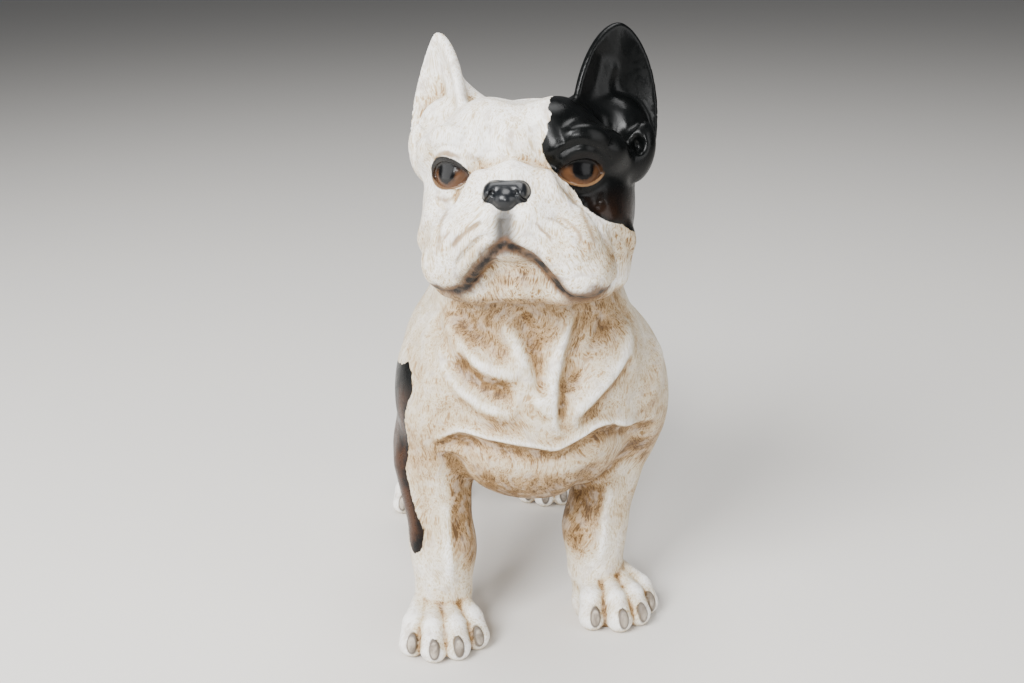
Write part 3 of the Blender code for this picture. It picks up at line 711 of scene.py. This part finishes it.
def neighbour_mean(mesh, values):
    """The mean of each vertex's neighbours, for any array of vertex values."""
    ends = np.empty(len(mesh.edges) * 2, np.int32)
    mesh.edges.foreach_get("vertices", ends)
    first, second = ends.reshape(-1, 2).T
    count = np.bincount(ends, minlength=len(values))
    total = np.empty_like(values)
    for axis in range(values.shape[1]):
        total[:, axis] = np.bincount(first, values[second, axis], len(values))
        total[:, axis] += np.bincount(second, values[first, axis], len(values))
    return total / np.maximum(count, 1)[:, None]


def settle(mesh, shapes, passes):
    """Draws the skin onto the blended surface of the clay, keeping its points evenly spread."""
    for _ in range(passes):
        points, normals = vertex_array(mesh), normal_array(mesh)
        drift = neighbour_mean(mesh, points) - points
        drift -= np.sum(drift * normals, axis=1)[:, None] * normals
        points += 0.5 * drift
        gap = np.clip(clay_distance(points, shapes), -LARGEST_STEP, LARGEST_STEP)
        set_vertices(mesh, points - gap[:, None] * normals)


def trimmed_flat(mesh, level):
    """Cuts the soles off flat at a height and closes them."""
    bm = bmesh.new()
    bm.from_mesh(mesh)
    bmesh.ops.bisect_plane(
        bm,
        geom=bm.verts[:] + bm.edges[:] + bm.faces[:],
        plane_co=(0, 0, level),
        plane_no=(0, 0, -1),
        clear_outer=True,
    )
    rim = [edge for edge in bm.edges if edge.is_boundary]
    bmesh.ops.holes_fill(bm, edges=rim)
    bmesh.ops.triangulate(bm, faces=bm.faces[:])
    bm.to_mesh(mesh)
    bm.free()


def stood(points, height):
    """The matrix that scales the figure to a height and stands it on the origin."""
    low, high = points.min(0), points.max(0)
    foot = Vector(((low[0] + high[0]) / 2, (low[1] + high[1]) / 2, low[2]))
    return Matrix.Scale(height / (high[2] - low[2]), 4) @ Matrix.Translation(-foot)


def face_refined(mesh):
    """Halves the grain of the mesh over the face, where the carving is finest."""
    origin, axes = head_frame()
    face = (vertex_array(mesh) - origin) @ axes
    chosen = (face[:, 1] < 6) & (np.abs(face[:, 0]) < 66) & (face[:, 2] > -76) & (face[:, 2] < 36)
    bm = bmesh.new()
    bm.from_mesh(mesh)
    edges = [edge for edge in bm.edges if all(chosen[vert.index] for vert in edge.verts)]
    bmesh.ops.subdivide_edges(bm, edges=edges, cuts=1, use_grid_fill=True)
    bm.to_mesh(mesh)
    bm.free()


def ease_brows(mesh):
    """Draws the lumps between each brow and the foot of its ear into one smooth slope."""
    origin, axes = head_frame()
    for _ in range(BROW_PASSES):
        points = vertex_array(mesh)
        face = (points - origin) @ axes
        across, up = (np.abs(face[:, 0]) - 47) / 16, (face[:, 2] - 29) / 12
        weight = 0.5 * np.exp(-(across**2) - up**2) * band(-face[:, 1], -8, 4)
        drift = neighbour_mean(mesh, points) - points
        set_vertices(mesh, points + weight[:, None] * drift)


def fine_skin(shapes):
    """The dog's skin at its finest grain, and the strokes that were carved in it."""
    mesh = evaluated(clay_mesh(shapes), "REMESH", mode="VOXEL", voxel_size=FIRST_VOXEL)
    settle(mesh, shapes, 6)
    mesh = evaluated(mesh, "REMESH", mode="VOXEL", voxel_size=FINE_VOXEL)
    settle(mesh, shapes, 3)
    face_refined(mesh)
    settle(mesh, shapes, 2)
    ease_brows(mesh)
    return mesh, carve(mesh, strokes())


def line_distance(points, line):
    """Distance from each point to a line of points."""
    best = np.full(len(points), 1e9)
    for start, end in zip(line, line[1:]):
        along = end - start
        share = np.clip((points - start) @ along / max(along @ along, 1e-9), 0, 1)
        best = np.minimum(best, np.linalg.norm(points - start - share[:, None] * along, axis=1))
    return best


def polygon_distance(places, corners):
    """Signed distance from 2-D places to a closed outline, negative inside."""
    outline = np.array((*corners, corners[0]), float)
    inside = np.zeros(len(places), bool)
    for a, b in zip(outline, outline[1:]):
        crosses = (a[1] > places[:, 1]) != (b[1] > places[:, 1])
        rise = b[1] - a[1] or 1e-9
        inside ^= crosses & (places[:, 0] < a[0] + (places[:, 1] - a[1]) / rise * (b[0] - a[0]))
    gap = line_distance(places, outline)
    return np.where(inside, -gap, gap)


def hollows(mesh, passes):
    """How far each point lies below the mean of its surroundings, in millimetres."""
    points, normals = vertex_array(mesh), normal_array(mesh)
    level = points.copy()
    for _ in range(passes):
        level = neighbour_mean(mesh, level)
    return np.sum((level - points) * normals, axis=1)


def band(values, low, high):
    """0 below low, 1 above high, and a smooth rise between."""
    t = np.clip((values - low) / (high - low), 0, 1)
    return t * t * (3 - 2 * t)


def eye_place(face, side):
    """Places in one eye's own frame: x to the outer corner, z up, from the ball's centre."""
    return (face - np.array(EYE_BALLS[side])) @ turned((0, 0, side * EYE_OUTWARD)) * (side, 1, 1)


def white_cover_and_shade(mesh, face):
    """How thickly the white lies: thin in folds, thick on ridges and the head, and darker as painted
    shade underneath, under the jaw and between the legs.
    """
    points, normals = vertex_array(mesh), normal_array(mesh)
    x, y, z = points.T
    fine, middle, broad = hollows(mesh, 4), hollows(mesh, 14), hollows(mesh, 90)
    on_head = np.maximum(band(z, 236, 248) * band(-y, -20, 10), band(z, 262, 275))
    over_shelf = band(z, 141, 149)
    front = band(-normals[:, 1], 0.0, 0.8) * band(-y, 20, 70)
    leg = band(-z, -120, -92)
    lower_leg = band(-z, -72, -40)

    white_and_shade = np.full(len(points), 0.55)
    white_and_shade -= front * (1 - leg) * (0.12 * over_shelf + 0.22 * (1 - over_shelf))
    white_and_shade += (0.45 - white_and_shade) * leg * (1 - lower_leg) + (0.62 - white_and_shade) * lower_leg
    # Painted shade: darker at the top of the throat, under the jaw
    white_and_shade -= 0.20 * band(-y, 60, 85) * band(z, 190, 214) * band(-z, -252, -236)
    # Painted shade: darker on faces that look downwards, except on the lower legs
    white_and_shade -= 0.45 * band(-normals[:, 2], 0.1, 0.8) * (1 - lower_leg)
    # Painted shade: darker on the inner sides of the legs, between them
    inward = -normals[:, 0] * np.sign(x - 2)
    white_and_shade -= 0.60 * leg * band(inward, 0.15, 0.75) * band(z, 34, 60)
    white_and_shade -= 0.45 * band(6 - z, 0, 6)
    folds = 0.34 * band(middle, 0.1, 1.4) + 0.28 * band(broad, 0.3, 3.2)
    ridges = 0.22 * band(-middle, 0.1, 1.4) + 0.20 * band(-broad, 0.4, 3.4)
    white_and_shade += ridges - folds - 0.40 * lower_leg * band(fine, 0.10, 0.7)

    chin = np.exp(-((face[:, 0] / 26) ** 2) - ((face[:, 2] + 56) / 12) ** 2) * band(-face[:, 1], 20, 38)
    cheek = np.exp(-(((np.abs(face[:, 0]) - 55) / 12) ** 2) - ((face[:, 2] + 38) / 15) ** 2)
    cheek *= band(-face[:, 1], -15, 8) * np.where(face[:, 0] > 0, 0.46, 0.24)
    head_white_and_shade = 0.74 - 0.26 * band(middle, 0.1, 1.2) - 0.22 * band(broad, 0.4, 3.0)
    head_white_and_shade += 0.12 * band(-middle, 0.1, 1.2)
    # The chin and lower cheeks are browner, and the underside of the head is darker as painted shade
    head_white_and_shade -= 0.56 * chin + cheek + 0.42 * band(-normals[:, 2], 0.45, 0.95) * band(-z, -270, -245)
    return np.maximum(white_and_shade + (head_white_and_shade - white_and_shade) * on_head, 0.12), on_head


def stroke_paint(points, face, carved, frame_of_head):
    """How dark the lips, how brown the fine creases and how grey the cleft under the nose."""
    origin, axes = frame_of_head
    dark, crease = np.zeros(len(points)), np.zeros(len(points))
    for mark in carved:
        line = mark["points"]
        if mark["depth"] < -4:
            seen = ((line - origin) @ axes)[:, [0, 2]]
            gap = line_distance(face[:, [0, 2]], seen)
            dark = np.maximum(dark, np.exp(-((gap / 4.2) ** 2)) * band(-face[:, 1], 18, 28))
    for line, width, strength in BRUSHED_LINES:
        laid = on_skin(smooth_line(np.array(line, float)), face)
        low, high = laid.min(0) - 4 * width, laid.max(0) + 4 * width
        near = np.nonzero(np.all((face > low) & (face < high), axis=1))[0]
        crease[near] = np.maximum(crease[near], strength * stroke_weight(face[near], laid, width))
    cleft = smooth_line(np.array(PHILTRUM, float))[:, [0, 2]]
    shade = np.exp(-((line_distance(face[:, [0, 2]], cleft) / 6.0) ** 2)) * band(-face[:, 1], 50, 56)
    return dark, crease, shade


def paint_values(mesh, carved):
    """What the painter's brush leaves at each point of the skin."""
    points = vertex_array(mesh)
    origin, axes = head_frame()
    face = (points - origin) @ axes
    white_and_shade, on_head = white_cover_and_shade(mesh, face)
    dark, crease, grey = stroke_paint(points, face, carved, (origin, axes))
    values = {"white_and_shade": white_and_shade, "on_head": on_head, "dark": dark, "crease": crease, "grey": grey}

    patch = polygon_distance(face[:, [0, 2]], HEAD_PATCH)
    patch = np.maximum(patch, face[:, 1] - 52 + 0.25 * (face[:, 2] + 20))
    patch = np.maximum(patch, 228 - points[:, 2])
    shoulder = polygon_distance(points[:, [1, 2]], SHOULDER_PATCH)
    shoulder = np.maximum(shoulder, points[:, 0] + 40)
    values["black"] = np.minimum(patch, shoulder)
    # Brown in places on the lower part of the black shoulder patch and low on the black cheek
    browned = band(-shoulder, -2, 4) * band(-points[:, 2], -172, -150)
    low_cheek = 0.3 * band(-patch, 0, 3) * band(-face[:, 2], 4, 24) * band(-face[:, 1], -8, 8)
    values["brown_on_black"] = np.maximum(browned, low_cheek)

    pad = np.full(len(points), 1e3)
    for shape in nose():
        if not shape["dig"]:
            pad = blended(pad, shape_distance(face, shape), 2.5)
    values["nose"] = pad - 0.7

    nails = np.full(len(points), 1e3)
    for heel, turn, size, toes in PAWS:
        for nail in paw_nails(heel, turn, size, toes):
            local = (points - nail["centre"]) @ nail["axes"]
            wide, _, tall = nail["radii"]
            edge = (np.hypot(local[:, 0] / wide, local[:, 2] / tall) - 1) * wide
            near = shape_distance(points, nail) < 2
            nails[near] = np.minimum(nails[near], edge[near])
    values["nail"] = nails

    rim = np.full(len(points), 1e3)
    eye_x, eye_z = rim.copy(), rim.copy()
    for side in SIDES:
        seen = eye_place(face, side)
        near = (face[:, 0] * side > 0) & (seen[:, 1] < 0)
        rim[near] = almond_distance(seen)[near] - 0.9 * band(seen[near, 2], 1, 5)
        eye_x[near], eye_z[near] = seen[near, 0], seen[near, 2]
    values.update(rim=rim, eye_x=eye_x, eye_z=eye_z)
    return values


def store(mesh, name, values):
    """Keeps one value for each point of the skin, for its paint to read."""
    layer = mesh.attributes.new(name, "FLOAT", "POINT")
    layer.data.foreach_set("value", values.astype(np.float32))


def carried(points, old_points, values):
    """The values of an older, finer skin at the points of a thinner one."""
    tree = KDTree(len(old_points))
    for index, place in enumerate(old_points):
        tree.insert(place, index)
    tree.balance()
    nearest = np.array([tree.find(place)[1] for place in points])
    return values[nearest]


def colour(hex_code, alpha=1.0):
    """A linear colour from an sRGB hex code."""
    parts = [int(hex_code[i : i + 2], 16) / 255 for i in (1, 3, 5)]
    linear = [p / 12.92 if p <= 0.04045 else ((p + 0.055) / 1.055) ** 2.4 for p in parts]
    return (*linear, alpha)


def add(tree, kind, inputs=None, output=0, **settings):
    """Adds a node with its settings, sets or links its inputs, and gives one of its outputs."""
    made = tree.nodes.new("ShaderNode" + kind)
    for name, value in settings.items():
        setattr(made, name, value)
    for socket, value in (inputs or {}).items():
        if isinstance(value, bpy.types.NodeSocket):
            tree.links.new(value, made.inputs[socket])
        else:
            made.inputs[socket].default_value = value
    return made.outputs[output]


def brush_marks(node):
    """Hairs of the brush, and mottling at three sizes, in the object's own frame.

    The hairs leave lines about 0.4 mm wide and 8 mm long, which swirl with the coat.
    """
    place = node("TexCoord", output=3)
    swirl = node("TexNoise", {"Vector": place, "Scale": 24.0, "Detail": 1.0}, 1)
    swirl = node("VectorMath", {0: swirl, 1: (0.5, 0.5, 0.5)}, operation="SUBTRACT")
    swirled = {0: swirl, 1: (0.034, 0.034, 0.034), 2: place}
    bent = node("VectorMath", swirled, operation="MULTIPLY_ADD")
    hairs = 0.0
    for turn, stretch, scale in HAIR_LAYS:
        laid = node("Mapping", {"Vector": bent, "Rotation": turn, "Scale": stretch})
        lines = node("TexNoise", {"Vector": laid, "Scale": scale, "Detail": 2.5, "Roughness": 0.55})
        lines = node("Math", {0: lines, 1: 0.5}, operation="SUBTRACT")
        lines = node("Math", {0: lines}, operation="ABSOLUTE")
        lines = node("MapRange", {0: lines, 1: 0.07, 2: 0.0}, **SMOOTH)
        hairs = node("Math", {0: hairs, 1: lines}, operation="MAXIMUM")
    stipple = node("TexNoise", {"Vector": place, "Scale": 700.0, "Detail": 3.0, "Roughness": 0.6})
    cloud = node("TexNoise", {"Vector": place, "Scale": 46.0, "Detail": 4.0, "Roughness": 0.62})
    mottle = node("TexNoise", {"Vector": bent, "Scale": 150.0, "Detail": 3.0, "Roughness": 0.55})
    return hairs, stipple, cloud, mottle


def painted_white_and_shade(node, held, brushed, mottle):
    """White over tan, as thick as it was laid and darker where shade is painted, with the thinner
    paints that lie on it.
    """
    thin = node("Math", {0: held["on_head"], 1: 0.4, 2: 1.0}, operation="MULTIPLY_ADD")
    # The white's value carries the painted shade under the body, under the jaw and between the legs
    cover_and_shade = node("Math", {0: brushed, 1: thin, 2: held["white_and_shade"]}, operation="MULTIPLY_ADD")
    coat = node("ValToRGB", {0: cover_and_shade})
    stops = coat.node.color_ramp.elements
    for at, code in WHITE_COATS[1:-1]:
        stops.new(at).color = colour(code)
    stops[0].color = colour(WHITE_COATS[0][1])
    stops[-1].color = colour(WHITE_COATS[-1][1])

    worn = node("Math", {0: mottle, 1: 0.9, 2: held["crease"]}, operation="MULTIPLY_ADD")
    lip_paint = node("Math", {0: mottle, 1: 1.1, 2: held["dark"]}, operation="MULTIPLY_ADD")
    horn = node("MapRange", {0: mottle, 1: 0.35, 2: 0.65}, **SMOOTH)
    horn = node("Mix", {0: horn, 6: colour("#756a5e"), 7: colour("#b0a698")}, **TINT)
    layers = (
        # Taupe mottling, and brown lines of the brush
        (mottle, 0.48, 0.72, 0.55, colour("#b9aa9a")),
        (worn, 0.6, 1.3, 0.8, colour("#8d7049")),
        # Grey airbrushed under the nose, and brown to black along the lips
        (held["grey"], 0.05, 0.9, 0.92, colour("#3f3d3c")),
        (lip_paint, 0.65, 1.3, 0.92, colour("#5a3d24")),
        (lip_paint, 1.25, 1.6, 1.0, colour("#110c0a")),
        # Horn-grey nails, streaked along, with a dark line round each
        (held["nail"], 0.7, -0.1, 0.9, colour("#4a3b2a")),
        (held["nail"], -0.35, -1.0, 1.0, horn),
    )
    for value, none, full, most, paint in layers:
        share = node("MapRange", {0: value, 1: none, 2: full, 4: most}, **SMOOTH)
        coat = node("Mix", {0: share, 6: coat, 7: paint}, **TINT)
    return coat


def painted_eyes(node, held):
    """Brown irises with black pupils, darker towards the lids as painted shade, and black as the
    painted shadow of the upper lid.
    """
    up = node("Math", {0: held["eye_z"], 1: 2.4}, operation="SUBTRACT")
    squares = node("Math", {0: up, 1: up}, operation="MULTIPLY")
    across = held["eye_x"]
    squares = node("Math", {0: across, 1: across, 2: squares}, operation="MULTIPLY_ADD")
    from_pupil = node("Math", {0: squares}, operation="SQRT")
    iris = colour("#1d120a")
    for value, none, full, code in (
        (from_pupil, 5.5, 8.0, "#4e3421"),
        # Painted shade: the iris darkens towards the lids
        (from_pupil, 8.5, 12.5, "#2a1b10"),
        # Painted shadow of the upper lid: black over the top of the eye
        (held["eye_z"], 0.5, 5.0, "#0d0a09"),
        (from_pupil, 6.4, 5.8, "#060607"),
    ):
        share = node("MapRange", {0: value, 1: none, 2: full}, **SMOOTH)
        iris = node("Mix", {0: share, 6: iris, 7: colour(code)}, **TINT)
    return iris


def hand_painted_resin():
    """Cast polyresin, painted by hand in thin acrylics: matt white dry-brushed over tan, which
    leaves fine hair-like strokes on the ridges and tan in the folds, with varnished black enamel
    on patches, nose and eyes. Shade is painted in as well: darker under the body and the jaw,
    between the legs, and on the eyes beneath the lids."""
    material = bpy.data.materials.new("hand_painted_resin")
    material.use_nodes = True
    tree = material.node_tree
    shader = tree.nodes["Principled BSDF"]
    node = partial(add, tree)
    held = {name: node("Attribute", output=2, attribute_name=name) for name in PAINT_VALUES}
    hairs, stipple, cloud, mottle = brush_marks(node)
    brushed = -0.84  # less the mean of the marks
    for mark, weight in ((cloud, 0.7), (mottle, 0.5), (stipple, 0.26), (hairs, 0.28)):
        brushed = node("Math", {0: mark, 1: weight, 2: brushed}, operation="MULTIPLY_ADD")
    coat = painted_white_and_shade(node, held, brushed, mottle)

    # Black enamel, brown in places low on the shoulder patch and the cheek, with a brushed edge
    ragged = node("Math", {0: mottle, 1: 2.2, 2: held["black"]}, operation="MULTIPLY_ADD")
    in_black = node("MapRange", {0: ragged, 1: 1.4, 2: 0.8}, **SMOOTH)
    browned = node("MapRange", {0: cloud, 1: 0.34, 2: 0.6}, **SMOOTH)
    browned = node("Math", {0: browned, 1: held["brown_on_black"]}, operation="MULTIPLY")
    enamel = node("Mix", {0: browned, 6: colour("#070808"), 7: colour("#3b2415")}, **TINT)

    # The nose, and the eyes in their lid lines, brown below and black above
    in_nose = node("MapRange", {0: held["nose"], 1: 0.2, 2: -0.2}, **SMOOTH)
    in_line = node("MapRange", {0: held["rim"], 1: 1.1, 2: 0.5}, **SMOOTH)
    in_eye = node("MapRange", {0: held["rim"], 1: -0.2, 2: -0.5}, **SMOOTH)
    line = node("MapRange", {0: held["eye_z"], 1: -3.0, 2: 1.0}, **SMOOTH)
    line = node("Mix", {0: line, 6: colour("#6d5238"), 7: colour("#0d0b0a")}, **TINT)
    iris = painted_eyes(node, held)
    paints = ((in_black, enamel), (in_nose, colour("#121417")), (in_line, line), (in_eye, iris))
    for share, paint in paints:
        coat = node("Mix", {0: share, 6: coat, 7: paint}, **TINT)
    tree.links.new(coat, shader.inputs["Base Color"])

    # Matt white, satin enamel, and varnish on nose and eyes
    satin = node("MapRange", {0: mottle, 1: 0.3, 2: 0.7, 3: 0.22, 4: 0.36}, **SMOOTH)
    gloss = 0.55
    for share, roughness in ((in_black, satin), (in_nose, 0.3), (in_eye, 0.2)):
        gloss = node("Mix", {0: share, 2: gloss, 3: roughness})
    tree.links.new(gloss, shader.inputs["Roughness"])
    glint = node("Mix", {0: in_black, 2: 0.4, 3: 0.15})
    tree.links.new(glint, shader.inputs["Specular IOR Level"])

    # The strokes stand about 0.1 mm proud, and enamel, nose and eyes are smooth
    relief = node("Math", {0: mottle, 1: 0.6, 2: brushed}, operation="MULTIPLY_ADD")
    flat = node("Math", {0: in_black, 1: 0.85}, operation="MULTIPLY")
    for share in (in_nose, in_eye):
        flat = node("Math", {0: share, 1: flat}, operation="MAXIMUM")
    relief = node("Mix", {0: flat, 2: relief, 3: 0.0})
    bump = node("Bump", {"Strength": 0.45, "Distance": 0.0007, "Height": relief})
    tree.links.new(bump, shader.inputs["Normal"])
    shader.inputs["IOR"].default_value = 1.5
    return material


def pale_floor():
    """A plain pale matt studio floor."""
    material = bpy.data.materials.new("pale_studio_floor")
    material.use_nodes = True
    shader = material.node_tree.nodes["Principled BSDF"]
    shader.inputs["Base Color"].default_value = colour("#d9d6d1")
    shader.inputs["Roughness"].default_value = 0.85
    return material


def dressed_dog():
    """The whole dog in its painted skin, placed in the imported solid's box."""
    fine, carved = fine_skin(figure())
    values = paint_values(fine, carved)
    old_points = vertex_array(fine)
    ratio = SKIN_TRIANGLES / sum(len(face.vertices) - 2 for face in fine.polygons)
    mesh = evaluated(fine, "DECIMATE", ratio=min(ratio, 1.0))
    trimmed_flat(mesh, STANDING_CUT)
    points = vertex_array(mesh)
    for name, held in values.items():
        store(mesh, name, carried(points, old_points, held))
    box_low, box_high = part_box("bulldog")
    mesh.transform(stood(points, box_high.z - box_low.z))
    mesh.materials.append(hand_painted_resin())
    mesh.shade_smooth()
    mesh.name = "bulldog_painted"
    dog = bpy.data.objects.new("bulldog_painted", mesh)
    bpy.context.scene.collection.objects.link(dog)
    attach(dog, "root")
    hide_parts("bulldog")


def floor():
    """One flat sheet under the dog."""
    bm = bmesh.new()
    bmesh.ops.create_grid(bm, x_segments=2, y_segments=2, size=FLOOR_REACH)
    mesh = bpy.data.meshes.new("floor")
    bm.to_mesh(mesh)
    bm.free()
    mesh.materials.append(pale_floor())
    ground = bpy.data.objects.new("floor", mesh)
    bpy.context.scene.collection.objects.link(ground)


def softbox(name, place, aim, power, width, height):
    """One soft studio light, aimed at a point."""
    lamp = bpy.data.lights.new(name, "AREA")
    lamp.shape = "RECTANGLE"
    lamp.energy = power
    lamp.size = width
    lamp.size_y = height
    holder = bpy.data.objects.new(name, lamp)
    holder.location = place
    holder.rotation_euler = (Vector(aim) - Vector(place)).to_track_quat("-Z", "Y").to_euler()
    bpy.context.scene.collection.objects.link(holder)


def studio():
    """Even pale surroundings, a large key light in front on the left, and windows around."""
    world = bpy.data.worlds.new("studio")
    world.use_nodes = True
    world.node_tree.nodes["Background"].inputs["Color"].default_value = colour("#c4c6ca")
    world.node_tree.nodes["Background"].inputs["Strength"].default_value = 0.2
    bpy.context.scene.world = world
    middle = (0.0, -0.05, 0.22)
    softbox("key", (-1.0, -1.0, 1.3), middle, 68, 0.8, 0.8)
    softbox("front_window", (-0.4, -1.5, 0.78), middle, 12, 0.16, 0.18)
    softbox("side_window", (-1.5, -0.05, 0.5), middle, 15, 1.2, 1.4)
    softbox("fill", (1.15, -1.15, 0.7), middle, 13, 0.9, 1.2)
    softbox("overhead", (0.1, 0.2, 1.8), middle, 26, 1.0, 1.0)


def camera():
    """The camera where the photograph was taken."""
    lens = bpy.data.cameras.new("photograph")
    lens.sensor_width = 36.0
    lens.lens = CAMERA_LENS
    lens.clip_start = 0.01
    holder = bpy.data.objects.new("photograph", lens)
    turn = Matrix.Rotation(-CAMERA_YAW, 4, "Z") @ Matrix.Rotation(math.pi / 2 - CAMERA_PITCH, 4, "X")
    turn = turn @ Matrix.Rotation(-CAMERA_ROLL, 4, "Z")
    holder.matrix_world = Matrix.Translation(CAMERA_PLACE) @ turn
    bpy.context.scene.collection.objects.link(holder)
    bpy.context.scene.camera = holder


dressed_dog()
floor()
studio()
camera()
